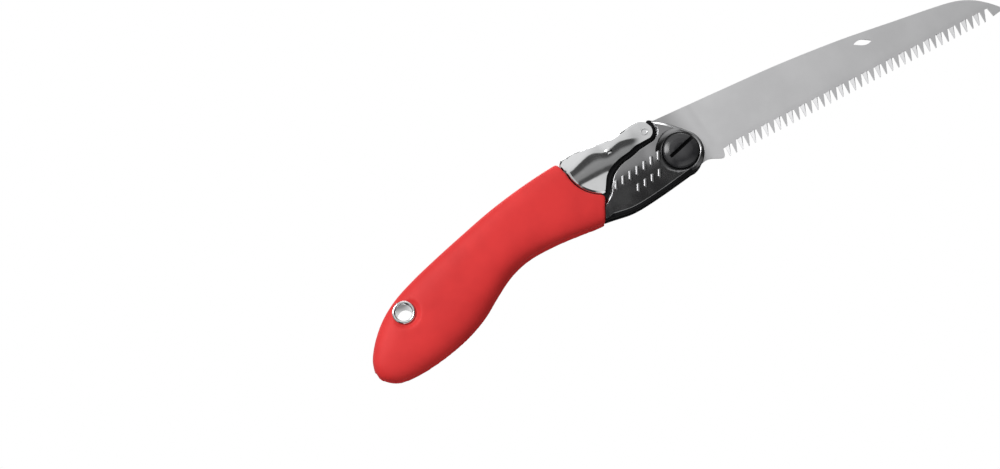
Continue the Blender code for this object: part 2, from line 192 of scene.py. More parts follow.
def carve(bm, *tools, operation="DIFFERENCE"):
    """Cuts closed shapes out of another one, or joins them to it."""
    work = as_object(bm)
    others = [as_object(tool, "tool") for tool in tools]
    for other in others:
        step = work.modifiers.new("carve", "BOOLEAN")
        step.operation, step.solver, step.object = operation, "EXACT", other
    done = settled(work)
    for other in others:
        mesh = other.data
        bpy.data.objects.remove(other)
        bpy.data.meshes.remove(mesh)
    return done


def mirrored(bm):
    """The same shape on the other side of the saw."""
    twin = bm.copy()
    bmesh.ops.scale(twin, vec=(1, -1, 1), verts=twin.verts)
    bmesh.ops.recalc_face_normals(twin, faces=twin.faces)
    return twin


def place(name, bm, finish, body, slot, *nodes, sharp=28.0, second=None, weighted=False):
    """Makes the finished piece: it rides on its body and stands for its CAD nodes.

    Edges sharper than `sharp` degrees stay hard. Faces with material index 1 take the second
    finish. Weighted normals keep large flat faces flat where they meet narrow bevels.
    """
    bmesh.ops.remove_doubles(bm, verts=bm.verts, dist=2e-6)
    bmesh.ops.recalc_face_normals(bm, faces=bm.faces)
    obj = as_object(bm, name)
    obj.data.shade_smooth()
    obj.data.set_sharp_from_angle(angle=radians(sharp))
    for each in (finish, second):
        if each:
            obj.data.materials.append(each)
    if weighted:
        obj.modifiers.new("normals", "WEIGHTED_NORMAL").keep_sharp = True
    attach(obj, body)
    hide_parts(*nodes)
    print(f"{name}: {len(obj.data.polygons)} faces on {body}")
    return obj


print("helpers ready")

# %% [markdown]
# ## The camera
#
# The saw is looked at from a metre away, a little from below, and the camera is rolled so that
# the saw climbs to the right. A long lens keeps the perspective mild.

# %% Camera
CAMERA_AT = Vector((-0.082948, -0.972585, -0.166222))
CAMERA_AIM = Vector((0.00770, 0.0, 0.00601))
CAMERA_ROLL = 28.464  # degrees

view = bpy.data.cameras.new("view")
view.lens = 69.38
view.clip_start = 0.01
camera = bpy.data.objects.new("view", view)
bpy.context.scene.collection.objects.link(camera)
camera.location = CAMERA_AT
aim = (CAMERA_AIM - CAMERA_AT).to_track_quat("-Z", "Y")
camera.rotation_euler = (aim @ Quaternion((0, 0, 1), radians(-CAMERA_ROLL))).to_euler()
bpy.context.scene.camera = camera
print("camera", round((CAMERA_AIM - CAMERA_AT).length, 3), "m from the saw")

# %% [markdown]
# ## Light and floor
#
# Polished metal shows the room, so the room matters more than the lamps. This room is bright from
# just above eye level upwards, dark below it, and dimmer on the right: a flat upright face mirrors
# the bright wall, and one that leans down even a few degrees goes dark, which is what gives
# pressed chrome its sharp contrast. A bright band low down draws thin lines along lower edges. The
# pattern depends on direction only, and the camera itself sees plain white behind the saw.
#
# The key light is a soft box at the upper left. One behind, high on the right, lights the back, and
# one low in front lifts the shadows under the grip without showing in the metal. A pale floor lies
# well below; only the camera sees it, so that it doesn't change what the metal mirrors.

# %% Studio
FLOOR_Z, FLOOR_R = -0.33, 2.2
OVERHEAD_GAP = Vector((-0.30, 0.20, 0.93)).normalized()  # where the ceiling is dark


def node(tree, kind, **settings):
    """Adds a node and sets its properties; settings that name an input set its value."""
    made = tree.nodes.new(kind)
    for key, value in settings.items():
        if hasattr(made, key):
            setattr(made, key, value)
        else:
            made.inputs[key.replace("_", " ")].default_value = value
    return made


def wire(tree, *pairs):
    for source, target in pairs:
        tree.links.new(source, target)


def ramp(tree, value, stops):
    """A Color Ramp over a value, from (position, grey or colour) stops."""
    made = tree.nodes.new("ShaderNodeValToRGB")
    while len(made.color_ramp.elements) < len(stops):
        made.color_ramp.elements.new(0.5)
    for element, (position, colour) in zip(made.color_ramp.elements, stops):
        element.position = position
        element.color = (*([colour] * 3 if isinstance(colour, float) else colour), 1)
    tree.links.new(value, made.inputs["Fac"])
    return made.outputs["Color"]


def band(tree, value, stops):
    """A grey that changes with one part of the direction, from -1 to 1."""
    half = node(tree, "ShaderNodeMath", operation="MULTIPLY_ADD")
    half.inputs[1].default_value, half.inputs[2].default_value = 0.5, 0.5
    wire(tree, (value, half.inputs[0]))
    return ramp(tree, half.outputs[0], [(0.5 + 0.5 * at, grey) for at, grey in stops])


def blended(tree, factor, first, second, blend="MIX"):
    """Two colours as one: mixed by a factor, or blended fully when there is none."""
    made = node(tree, "ShaderNodeMix", data_type="RGBA", blend_type=blend)
    made.inputs["Factor"].default_value = 1.0
    if factor:
        wire(tree, (factor, made.inputs["Factor"]))
    wire(tree, (first, made.inputs["A"]), (second, made.inputs["B"]))
    return made.outputs["Result"]


def studio_world():
    world = bpy.data.worlds.new("studio")
    world.use_nodes = True
    tree = world.node_tree
    tree.nodes.clear()
    where = node(tree, "ShaderNodeTexCoord")
    split = node(tree, "ShaderNodeSeparateXYZ")
    wire(tree, (where.outputs["Generated"], split.inputs[0]))
    x, y, z = (split.outputs[axis] for axis in "XYZ")
    lifted = node(tree, "ShaderNodeMath", operation="ADD")
    wire(tree, (z, lifted.inputs[0]),
         (band(tree, x, [(-1.0, 0.45), (-0.6, 0.40), (-0.3, 0.0), (1.0, 0.0)]), lifted.inputs[1]))
    front = band(tree, lifted.outputs[0], [
        (-1.0, 0.05), (-0.85, 0.06), (-0.75, 1.0), (-0.52, 1.0), (-0.42, 0.06), (-0.2, 0.05),
        (0.05, 0.08), (0.13, 0.80), (0.5, 0.92), (1.0, 1.0)])
    back = band(tree, z, [(-1.0, 0.12), (-0.2, 0.30), (0.1, 0.80), (1.0, 1.00)])
    behind = band(tree, y, [(-1.0, 0.0), (-0.25, 0.0), (0.15, 1.0), (1.0, 1.0)])
    sides = band(tree, x, [(-1.0, 0.25), (-0.8, 0.3), (-0.45, 0.95), (0.08, 1.0), (0.35, 0.76),
                           (0.7, 0.28), (1.0, 0.2)])
    high = band(tree, z, [(-1.0, 0.0), (0.35, 0.0), (0.6, 1.0), (1.0, 1.0)])
    gap = node(tree, "ShaderNodeVectorMath", operation="DOT_PRODUCT")
    gap.inputs[1].default_value = OVERHEAD_GAP
    wire(tree, (where.outputs["Generated"], gap.inputs[0]))
    ceiling = band(tree, gap.outputs["Value"], [(-1.0, 1.0), (0.84, 1.0), (0.91, 0.06),
                                                (1.0, 0.05)])
    low = blended(tree, None, blended(tree, behind, front, back), sides, "MULTIPLY")
    room = blended(tree, None, blended(tree, high, low, front), ceiling, "MULTIPLY")
    seen = node(tree, "ShaderNodeLightPath")
    lit, white = node(tree, "ShaderNodeBackground"), node(tree, "ShaderNodeBackground")
    wire(tree, (room, lit.inputs["Color"]))
    white.inputs["Color"].default_value = (1, 1, 1, 1)
    pick, out = node(tree, "ShaderNodeMixShader"), node(tree, "ShaderNodeOutputWorld")
    wire(tree, (seen.outputs["Is Camera Ray"], pick.inputs[0]), (lit.outputs[0], pick.inputs[1]),
         (white.outputs[0], pick.inputs[2]), (pick.outputs[0], out.inputs["Surface"]))
    return world


def softbox(name, at, aim_at, width, height, watts):
    lamp = bpy.data.lights.new(name, "AREA")
    lamp.shape, lamp.size, lamp.size_y, lamp.energy = "RECTANGLE", width, height, watts
    obj = bpy.data.objects.new(name, lamp)
    obj.location = at
    obj.rotation_euler = (Vector(aim_at) - Vector(at)).to_track_quat("-Z", "Y").to_euler()
    bpy.context.scene.collection.objects.link(obj)
    return obj


bpy.context.scene.world = studio_world()
bpy.context.scene.view_settings.view_transform = "Standard"
softbox("key_light", (-0.52, -0.86, 0.76), (-0.05, 0, 0), 0.6, 0.6, 10.0)
softbox("back_light", (0.57, 0.68, 0.65), (0.1, 0, 0), 0.9, 0.9, 10.0)
fill = softbox("fill_light", (-0.30, -0.80, -0.90), (-0.05, 0, 0), 1.4, 0.8, 3.8)
fill.visible_glossy = False

floor_mesh = bmesh.new()
bmesh.ops.create_circle(floor_mesh, cap_ends=True, segments=96, radius=FLOOR_R)
bmesh.ops.translate(floor_mesh, verts=floor_mesh.verts, vec=(0, 0, FLOOR_Z))
floor = as_object(floor_mesh, "floor")
floor_paint = bpy.data.materials.new("floor_paint")
floor_paint.use_nodes = True
paint = floor_paint.node_tree.nodes["Principled BSDF"]
paint.inputs["Base Color"].default_value = (0.88, 0.88, 0.88, 1)
paint.inputs["Roughness"].default_value = 0.9
floor.data.materials.append(floor_paint)
floor.visible_glossy = floor.visible_diffuse = floor.visible_shadow = False
floor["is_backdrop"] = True
print("studio and floor ready")

# %% [markdown]
# ## Shared surface effects
#
# The same three things make these surfaces look real: soft clouds where a finish is a little
# uneven, hair-fine lines left by grinding or handling, and a fine grain. Each is a small node
# group with its own inputs, so every material can use it at its own scale. A group gives only a
# value that varies over the surface; colours, roughness and metal stay on each material's shader.

# %% Effect groups
def group(name, *inputs):
    """A node group with a Vector and some number inputs, and one Value output."""
    tree = bpy.data.node_groups.new(name, "ShaderNodeTree")
    tree.interface.new_socket("Vector", in_out="INPUT", socket_type="NodeSocketVector")
    for label, value in inputs:
        made = tree.interface.new_socket(label, in_out="INPUT", socket_type="NodeSocketFloat")
        made.default_value = value
    tree.interface.new_socket("Value", in_out="OUTPUT", socket_type="NodeSocketFloat")
    return tree, tree.nodes.new("NodeGroupInput"), tree.nodes.new("NodeGroupOutput")


def make_clouds():
    tree, come, go = group("clouds", ("Scale", 30.0), ("Low", 0.35), ("High", 0.65))
    noise = node(tree, "ShaderNodeTexNoise", Detail=3.0, Roughness=0.55)
    spread = node(tree, "ShaderNodeMapRange", interpolation_type="SMOOTHSTEP")
    wire(tree, (come.outputs["Vector"], noise.inputs["Vector"]),
         (come.outputs["Scale"], noise.inputs["Scale"]),
         (noise.outputs["Fac"], spread.inputs["Value"]),
         (come.outputs["Low"], spread.inputs["From Min"]),
         (come.outputs["High"], spread.inputs["From Max"]),
         (spread.outputs["Result"], go.inputs["Value"]))
    return tree


def make_hairlines():
    tree, come, go = group("hairlines", ("Along X", 1.0), ("Along Y", 1.0), ("Along Z", 1.0),
                           ("Scale", 900.0))
    stretch = node(tree, "ShaderNodeCombineXYZ")
    multiply = node(tree, "ShaderNodeVectorMath", operation="MULTIPLY")
    noise = node(tree, "ShaderNodeTexNoise", Detail=2.0, Roughness=0.6)
    wire(tree, (come.outputs["Along X"], stretch.inputs["X"]),
         (come.outputs["Along Y"], stretch.inputs["Y"]),
         (come.outputs["Along Z"], stretch.inputs["Z"]),
         (come.outputs["Vector"], multiply.inputs[0]),
         (stretch.outputs[0], multiply.inputs[1]),
         (multiply.outputs[0], noise.inputs["Vector"]),
         (come.outputs["Scale"], noise.inputs["Scale"]),
         (noise.outputs["Fac"], go.inputs["Value"]))
    return tree


def make_grain():
    tree, come, go = group("grain", ("Scale", 1500.0))
    noise = node(tree, "ShaderNodeTexNoise", Detail=4.0, Roughness=0.7)
    cells = node(tree, "ShaderNodeTexVoronoi")
    both = node(tree, "ShaderNodeMath", operation="MULTIPLY_ADD")
    both.inputs[1].default_value = 0.5
    wire(tree, (come.outputs["Vector"], noise.inputs["Vector"]),
         (come.outputs["Scale"], noise.inputs["Scale"]),
         (come.outputs["Vector"], cells.inputs["Vector"]),
         (come.outputs["Scale"], cells.inputs["Scale"]),
         (cells.outputs["Distance"], both.inputs[0]),
         (noise.outputs["Fac"], both.inputs[2]),
         (both.outputs[0], go.inputs["Value"]))
    return tree


CLOUDS, HAIRLINES, GRAIN = make_clouds(), make_hairlines(), make_grain()


def effect(tree, source, vector, **settings):
    """Places an effect group in a material, fed with a vector, and returns its value."""
    made = tree.nodes.new("ShaderNodeGroup")
    made.node_tree = source
    for key, value in settings.items():
        made.inputs[key.replace("_", " ")].default_value = value
    wire(tree, (vector, made.inputs["Vector"]))
    return made.outputs["Value"]


def mixed(tree, factor, low, high):
    """A colour or grey between two values, by a factor that varies over the surface."""
    made = node(tree, "ShaderNodeMix", data_type="RGBA")
    made.inputs["A"].default_value = (*low, 1) if isinstance(low, tuple) else (low,) * 3 + (1,)
    made.inputs["B"].default_value = (*high, 1) if isinstance(high, tuple) else (high,) * 3 + (1,)
    wire(tree, (factor, made.inputs["Factor"]))
    return made.outputs["Result"]


def between(tree, factor, low, high):
    """A number between two values, by a factor that varies over the surface."""
    made = node(tree, "ShaderNodeMapRange")
    made.inputs["To Min"].default_value, made.inputs["To Max"].default_value = low, high
    wire(tree, (factor, made.inputs["Value"]))
    return made.outputs["Result"]


def bumped(tree, shader, height, strength, depth):
    """Feeds a height into the shader's Normal; depth is in millimetres."""
    made = node(tree, "ShaderNodeBump")
    made.inputs["Strength"].default_value = strength
    made.inputs["Distance"].default_value = depth * MM
    wire(tree, (height, made.inputs["Height"]), (made.outputs["Normal"], shader.inputs["Normal"]))


def blank_material(name):
    """A material with its node tree, its shader and its Object coordinates."""
    made = bpy.data.materials.new(name)
    made.use_nodes = True
    tree = made.node_tree
    shader = tree.nodes["Principled BSDF"]
    return made, tree, shader, node(tree, "ShaderNodeTexCoord").outputs["Object"]


print("effect groups:", CLOUDS.name, HAIRLINES.name, GRAIN.name)

# %% [markdown]
# ## The finishes
#
# The blade is spring steel with a satin hard-chrome skin, ground across. Its colour is darkened
# at the heel, a painted shade of the bolster.
# The lever, its pins and the eyelet are polished chrome. The bolster's panels are black nickel, a
# dark mirror with a fine orange peel. The bolt and its nut are glossy black enamel. Recesses, such
# as the coin slot and the plates' base, and the chamfer low on the panel are left rough and near
# black: an unpolished finish, darkened further as painted shade. The grip is soft red rubber with a
# fine matt grain. Inside are plain bright steel and brass washers.

# %% Blade steel, chrome and black finishes
BOLSTER_SHADE_SPAN = (2.0, 15.0)  # where the painted shade lifts, from start to end
PAINTED_SHADE_LEVEL = 0.62
PAINTED_SHADE_SLANT = (1.0, 0.0, 0.08)  # across the line where the painted shade lifts


def blade_steel():
    made, tree, shader, here = blank_material("blade_steel")
    lines = effect(tree, HAIRLINES, here, Along_X=1.0, Along_Y=0.1, Along_Z=0.03, Scale=2600.0)
    patches = effect(tree, CLOUDS, here, Scale=45.0, Low=0.3, High=0.7)
    # painted shade: the base colour darkens towards the bolster
    heel = node(tree, "ShaderNodeVectorMath", operation="DOT_PRODUCT")
    heel.inputs[1].default_value = PAINTED_SHADE_SLANT
    fade = node(tree, "ShaderNodeMapRange", interpolation_type="SMOOTHSTEP")
    fade.inputs["From Min"].default_value = PIVOT.x + BOLSTER_SHADE_SPAN[0] * MM
    fade.inputs["From Max"].default_value = PIVOT.x + BOLSTER_SHADE_SPAN[1] * MM
    fade.inputs["To Min"].default_value = PAINTED_SHADE_LEVEL
    wire(tree, (here, heel.inputs[0]), (heel.outputs["Value"], fade.inputs["Value"]))
    skin = blended(tree, None, mixed(tree, patches, (0.82, 0.82, 0.83), (0.88, 0.88, 0.89)),
                   fade.outputs["Result"], "MULTIPLY")
    wire(tree, (skin, shader.inputs["Base Color"]),
         (between(tree, lines, 0.30, 0.42), shader.inputs["Roughness"]))
    shader.inputs["Metallic"].default_value = 1.0
    bumped(tree, shader, lines, 0.25, 0.01)
    return made


def polished_chrome():
    made, tree, shader, here = blank_material("polished_chrome")
    lines = effect(tree, HAIRLINES, here, Along_X=0.06, Along_Y=1.0, Along_Z=1.0, Scale=2200.0)
    smudges = effect(tree, CLOUDS, here, Scale=120.0, Low=0.4, High=0.75)
    wire(tree, (mixed(tree, smudges, (0.76, 0.765, 0.77), (0.70, 0.705, 0.71)),
                shader.inputs["Base Color"]),
         (between(tree, smudges, 0.07, 0.14), shader.inputs["Roughness"]))
    shader.inputs["Metallic"].default_value = 1.0
    bumped(tree, shader, lines, 0.06, 0.004)
    return made


def black_nickel():
    made, tree, shader, here = blank_material("black_nickel")
    peel = effect(tree, GRAIN, here, Scale=1700.0)
    smudges = effect(tree, CLOUDS, here, Scale=90.0, Low=0.35, High=0.7)
    wire(tree, (mixed(tree, smudges, (0.29, 0.29, 0.295), (0.335, 0.335, 0.34)),
                shader.inputs["Base Color"]),
         (between(tree, smudges, 0.17, 0.24), shader.inputs["Roughness"]))
    shader.inputs["Metallic"].default_value = 1.0
    bumped(tree, shader, peel, 0.16, 0.012)
    return made


def black_enamel():
    made, tree, shader, here = blank_material("black_enamel")
    peel = effect(tree, GRAIN, here, Scale=1300.0)
    smudges = effect(tree, CLOUDS, here, Scale=140.0, Low=0.35, High=0.7)
    wire(tree, (mixed(tree, smudges, (0.022, 0.022, 0.024), (0.032, 0.032, 0.034)),
                shader.inputs["Base Color"]),
         (between(tree, smudges, 0.20, 0.28), shader.inputs["Roughness"]))
    bumped(tree, shader, peel, 0.10, 0.010)
    return made


# Rough and near black: an unpolished finish, darkened further as painted shade in recesses and on
# the low chamfer.
def shade_black():
    made, tree, shader, here = blank_material("shade_black")
    scale = effect(tree, GRAIN, here, Scale=2500.0)
    wire(tree, (mixed(tree, scale, (0.004, 0.004, 0.005), (0.010, 0.010, 0.011)),
                shader.inputs["Base Color"]),
         (between(tree, scale, 0.6, 0.8), shader.inputs["Roughness"]))
    shader.inputs["Specular IOR Level"].default_value = 0.15
    bumped(tree, shader, scale, 0.3, 0.02)
    return made


BLADE_STEEL, CHROME = blade_steel(), polished_chrome()
BLACK_NICKEL, BLACK_ENAMEL, SHADE_BLACK = black_nickel(), black_enamel(), shade_black()
print("finishes:", ", ".join(made.name for made in (BLADE_STEEL, CHROME, BLACK_NICKEL,
                                                    BLACK_ENAMEL, SHADE_BLACK)))

# %% Rubber, plain steel and brass
def red_rubber():
    made, tree, shader, here = blank_material("red_rubber")
    skin = effect(tree, GRAIN, here, Scale=2300.0)
    patches = effect(tree, CLOUDS, here, Scale=38.0, Low=0.3, High=0.7)
    wire(tree, (mixed(tree, patches, (0.62, 0.026, 0.026), (0.72, 0.034, 0.033)),
                shader.inputs["Base Color"]),
         (between(tree, skin, 0.50, 0.66), shader.inputs["Roughness"]))
    shader.inputs["Specular IOR Level"].default_value = 0.30
    bumped(tree, shader, skin, 0.35, 0.05)
    return made


def bright_steel(name, low, high):
    made, tree, shader, here = blank_material(name)
    lines = effect(tree, HAIRLINES, here, Along_X=0.05, Along_Y=1.0, Along_Z=1.0, Scale=1500.0)
    patches = effect(tree, CLOUDS, here, Scale=70.0, Low=0.3, High=0.7)
    wire(tree, (mixed(tree, patches, low, high), shader.inputs["Base Color"]),
         (between(tree, lines, 0.28, 0.45), shader.inputs["Roughness"]))
    shader.inputs["Metallic"].default_value = 1.0
    bumped(tree, shader, lines, 0.2, 0.01)
    return made


RUBBER = red_rubber()
STEEL = bright_steel("plain_steel", (0.44, 0.45, 0.46), (0.54, 0.55, 0.56))
BRASS = bright_steel("brass", (0.56, 0.40, 0.17), (0.66, 0.48, 0.22))
INSIDE = {
    "steel": (STEEL, ["spring_washer", "frame_near", "frame_far", "back_spacer",
                      "spring_seat", "seat_rivet", "stop_pin", "spine_rivet_front",
                      "spine_rivet_rear"]),
    "brass": (BRASS, ["pivot_bush", "thrust_washer_near", "thrust_washer_far"]),
}
for slot_name, (finish, names) in INSIDE.items():
    for name in names:
        piece = frame["nodes"][name]
        piece.data.materials.clear()
        piece.data.materials.append(finish)
print("CAD nodes with a new finish:", sum(len(names) for _, names in INSIDE.values()))

# %% [markdown]
# ## The blade
#
# The real blade is a strip of spring steel, blanked to shape, ground thinner towards its spine so
# that the cut doesn't bind, and toothed by a grinding wheel that sweeps through at an angle, once
# from each side. The body is one outline, extruded. A tooth is a small prism that a slanted plane
# cuts twice, which leaves the same facets as the wheel. Two such teeth, one for each side, are
# duplicated along the edge and joined to the body. Slicing the body where the grind begins lets the
# thinning be a plain move of its points, which leaves a soft shaded line across the blade.

# %% Blade outline
BLADE_HALF = 0.55
TOOTH_PITCH = 3.75
TOOTH_COUNT = 42
FIRST_TOOTH_X = 22.9
TOOTH_TIP_Z = -13.3
GULLET_Z = -7.1
TANG_R = 19.4
BOLT_HOLE_R, NOTCH_R = 5.65, 1.8
LOCK_NOTCHES = (123.3, 143.3)  # degrees round the tang

spine = curve([(-4.6, 21.9), (35.8, 19.8), (69.6, 17.7), (103.0, 14.3), (133.0, 9.9),
               (157.0, 6.3), (168.5, 3.9), (176.5, 0.3), (182.8, -4.6), (187.6, -9.7)], 10)
nose = [(187.0, -11.6), (182.2, -12.4), (181.3, GULLET_Z)]
heel = curve([(21.4, -8.2), (20.2, -12.0), (18.2, -12.4), (11.6, -9.6), (4.0, -10.8),
              (-6.0, -11.9), (-12.0, -12.1)], 4)
root = [(x, GULLET_Z) for x in (150.0, 110.0, 70.0, 30.0)]
tang = arc((0, 0), TANG_R, 213, 105, 54)
blade_body = slab(spine + nose + root + heel + tang, -BLADE_HALF, BLADE_HALF)

bolt_hole = turned((0, 0), [(0, -3), (BOLT_HOLE_R, -3), (BOLT_HOLE_R, 3), (0, 3)])
notches = [turned((TANG_R * cos(radians(a)), TANG_R * sin(radians(a))),
                  [(0, -3), (NOTCH_R, -3), (NOTCH_R, 3), (0, 3)], steps=32) for a in LOCK_NOTCHES]
tip_hole = (curve([(109.0, 8.6), (111.6, 9.5), (114.4, 9.1), (118.8, 6.1)], 5)[:-1]
            + curve([(118.8, 6.1), (116.2, 5.4), (113.2, 6.0), (109.0, 8.6)], 5)[:-1])
blade_body = carve(blade_body, bolt_hole, *notches, slab(tip_hole, -3, 3))
print("blade blank:", len(blade_body.faces), "faces")

# %% Ground teeth
def tooth(side):
    """One tooth at x = 0, with its facets ground on the given side (-1 near, 1 far)."""
    half = BLADE_HALF - 0.004
    bm = slab([(-0.1, GULLET_Z + 0.5), (-0.1, GULLET_Z), (-0.2, TOOTH_TIP_Z),
               (0.2, TOOTH_TIP_Z), (2.9, GULLET_Z), (2.9, GULLET_Z + 0.5)], -half, half)
    facets = [
        [(-0.1, GULLET_Z, -0.1), (2.35, GULLET_Z, -half), (0.16, TOOTH_TIP_Z, -half)],
        [(2.9, GULLET_Z, -0.2), (2.42, GULLET_Z, -half), (0.2, TOOTH_TIP_Z + 0.1, -half)],
    ]
    for places in facets:
        a, b, c = (spot(x, z, -side * y) for x, z, y in places)
        normal = (b - a).cross(c - a).normalized()
        if (normal.y > 0) != (side > 0):
            normal = -normal
        bmesh.ops.bisect_plane(bm, geom=[*bm.verts, *bm.edges, *bm.faces], plane_co=a,
                               plane_no=normal, clear_outer=True, dist=1e-8)
        bmesh.ops.holes_fill(bm, edges=[e for e in bm.edges if e.is_boundary], sides=0)
    bmesh.ops.remove_doubles(bm, verts=bm.verts, dist=1e-7)
    bmesh.ops.recalc_face_normals(bm, faces=bm.faces)
    return bm


def tooth_row():
    """The whole row: near-ground and far-ground teeth in turn, as one mesh of closed prisms."""
    row = bmesh.new()
    for first, side in ((0, -1), (1, 1)):
        template = tooth(side)
        mesh = bpy.data.meshes.new("tooth")
        template.to_mesh(mesh)
        template.free()
        for i in range(first, TOOTH_COUNT, 2):
            before = len(row.verts)
            row.from_mesh(mesh)
            row.verts.ensure_lookup_table()
            bmesh.ops.translate(row, verts=row.verts[before:],
                                vec=((FIRST_TOOTH_X + TOOTH_PITCH * i) * MM, 0, 0))
        bpy.data.meshes.remove(mesh)
    return row


blade = carve(blade_body, tooth_row(), operation="UNION")
print("blade with teeth:", len(blade.faces), "faces")

# %% Taper grind
GRIND_START = ((13.6, 20.4), (15.2, 0.8))  # two places on the line where the grind begins
RUN_OUT = 4.4  # how far the grinding wheel takes to reach its depth
GRIND_FLOOR = -5.0  # below this height the blade keeps its full thickness
SPINE_THIN = 0.2  # how much thinner each side is at the top of the spine

(top_x, top_z), (low_x, low_z) = GRIND_START
lean = (top_x - low_x) / (top_z - low_z)
across = Vector((1.0, 0.0, -lean)).normalized()
slice_at(blade, [spot(top_x + RUN_OUT * i / 6, top_z) for i in range(7)], across)
slice_at(blade, [spot(0, GRIND_FLOOR)], (0, 0, 1))
for v in blade.verts:
    x, z = (v.co.x - PIVOT.x) / MM, (v.co.z - PIVOT.z) / MM
    start = low_x + lean * (z - low_z)
    t = min(max((x - start) / RUN_OUT, 0.0), 1.0)
    rise = min(max((z - GRIND_FLOOR) / 25.0, 0.0), 1.0)
    thin = SPINE_THIN * rise * t * t * (3 - 2 * t)
    v.co.y -= thin * MM * (1 if v.co.y > 0 else -1)
bmesh.ops.triangulate(blade, faces=[f for f in blade.faces if len(f.verts) > 4])
blade_piece = place("saw_blade", blade, BLADE_STEEL, "blade", "blade_steel", "blade", sharp=12.0)
for face in blade_piece.data.polygons:
    face.use_smooth = abs(face.normal.y) < 0.2  # the ground sides stay flat, the edges are round

# %% [markdown]
# ## The rubber grip
#
# The grip is one soft moulding that is slid over the frame from behind, with a slot underneath for
# the folded blade. It is lofted through rounded sections: circles are squared a little, set to the
# width and depth of the hand, and bridged. The openings are cut out, and a voxel remesh and a
# little smoothing then melt every lip, which is how moulded rubber looks; bevels can't do this on
# edges that curve and fade.

# %% Grip loft
BACK = [(-43.0, 25.0), (-60.0, 24.4), (-80.0, 22.4), (-101.0, 18.9), (-121.0, 14.1),
        (-139.0, 9.4), (-154.0, 5.0), (-166.0, 0.4), (-176.0, -5.6), (-184.0, -13.0),
        (-189.6, -20.5), (-191.5, -25.6), (-191.9, -28.4), (-191.6, -30.6)]
BELLY = [(-43.0, -15.6), (-60.0, -14.4), (-77.0, -12.7), (-94.0, -12.8), (-107.0, -16.4),
         (-118.5, -22.8), (-129.5, -29.6), (-143.0, -34.8), (-158.0, -38.1), (-172.0, -39.6),
         (-182.0, -38.9), (-187.4, -36.3), (-189.9, -33.8), (-191.1, -32.1)]
HALF_WIDTH = [(8.8, 4.2), (9.4, 4.2), (10.6, 3.8), (11.6, 3.4), (12.1, 3.1), (12.2, 3.0),
              (12.1, 2.9), (11.9, 2.9), (11.4, 2.8), (10.5, 2.6), (8.9, 2.4), (6.6, 2.2),
              (4.2, 2.0), (1.6, 2.0)]  # with how square each section is: 2 is an ellipse


def squared(value, power):
    return abs(value) ** (2 / power) * (1 if value >= 0 else -1)


def section(bm, back, belly, half, power):
    """A circle, squared and set between a place on the back and one on the belly."""
    made = bmesh.ops.create_circle(bm, cap_ends=False, segments=80, radius=1.0)["verts"]
    for v in made:
        up, side = squared(v.co.y, power), squared(v.co.x, power)
        x = (back[0] + belly[0]) / 2 + (back[0] - belly[0]) / 2 * up
        z = (back[1] + belly[1]) / 2 + (back[1] - belly[1]) / 2 * up
        v.co = spot(x, z, half * side)
    return list({e for v in made for e in v.link_edges})


grip = bmesh.new()
rings = [section(grip, back, belly, *form) for back, belly, form
         in zip(curve(BACK, 5), curve(BELLY, 5), curve(HALF_WIDTH, 5))]
for first, second in zip(rings, rings[1:]):
    bmesh.ops.bridge_loops(grip, edges=first + second)
bmesh.ops.holes_fill(grip, edges=rings[0] + rings[-1], sides=0)
bmesh.ops.recalc_face_normals(grip, faces=grip.faces)
print("grip loft:", len(rings), "sections")

# %% Grip openings and soft lips
LEVER_ARC, LEVER_ARC_R = (-38.0, 16.5), 19.3
EYELET = (-165.0, -8.5)
FRAME_BACK = [(-58.0, 19.8), (-64.0, 20.2), (-80.0, 18.6), (-101.0, 15.2), (-121.0, 10.6),
              (-139.0, 6.0), (-152.0, 2.0), (-163.0, -1.8), (-173.0, -8.0), (-180.0, -14.6),
              (-185.6, -21.6)]
GRIP_AT_EYELET = 9.6  # how far out the dish round the eyelet bottoms
SLOT_HALF = 2.5
VOXEL, SMOOTHINGS = 0.62, 4  # finer voxels or fewer passes leave harder lips

front_cut = [(-40.0, 40.0), (-60.6, 40.0), (-60.0, 24.0),
             *arc(LEVER_ARC, LEVER_ARC_R + 0.9, 180, 244, 24), (-46.1, -3.4), (-48.7, -7.8),
             (-50.3, -11.2), (-51.9, -14.2), (-52.6, -16.5), (-53.0, -30.0), (-40.0, -30.0)]
slot_cut = ([(x, z + 0.3) for x, z in FRAME_BACK] + [(-188.4, -27.0), (-220.0, -40.0),
            (-220.0, -70.0), (-20.0, -70.0), (-20.0, 20.2)])


def valley():
    """A wedge that opens the slot into two rounded lips along the belly."""
    bm = bmesh.new()
    half = 5.6
    corners = [(-half, -3.0), (half, -3.0), (half, 0.0), (0.0, half), (-half, 0.0)]
    loops = []
    for x, z in (p for p in curve(BELLY, 3) if -190.0 < p[0] < -56.0):
        verts = [bm.verts.new(spot(x, z + h - 0.2, y)) for y, h in corners]
        loops.append([bm.edges.new((verts[i], verts[(i + 1) % 5])) for i in range(5)])
    for first, second in zip(loops, loops[1:]):
        bmesh.ops.bridge_loops(bm, edges=first + second)
    bmesh.ops.holes_fill(bm, edges=loops[0] + loops[-1], sides=0)
    bmesh.ops.recalc_face_normals(bm, faces=bm.faces)
    return bm


dish_rise = [(0, 0), (6.4, 0), (7.4, 0.5), (9.6, 3.0), (0, 3.0)]
dishes = [turned(EYELET, [(r, side * (GRIP_AT_EYELET + out)) for r, out in dish_rise])
          for side in (-1, 1)]
grip = carve(grip, slab(front_cut, -20, 20), slab(slot_cut, -SLOT_HALF, SLOT_HALF), valley(),
             turned(EYELET, [(0, -20), (4.95, -20), (4.95, 20), (0, 20)]), *dishes)
blank = as_object(grip, "grip_blank")
melt = blank.modifiers.new("melt", "REMESH")
melt.mode, melt.voxel_size = "VOXEL", VOXEL * MM
grip = settled(blank)
for _ in range(SMOOTHINGS):
    bmesh.ops.smooth_vert(grip, verts=grip.verts, factor=0.5, use_axis_x=True, use_axis_y=True,
                          use_axis_z=True)
place("rubber_grip_skin", grip, RUBBER, "handle", "red_rubber", "rubber_grip", sharp=60.0)

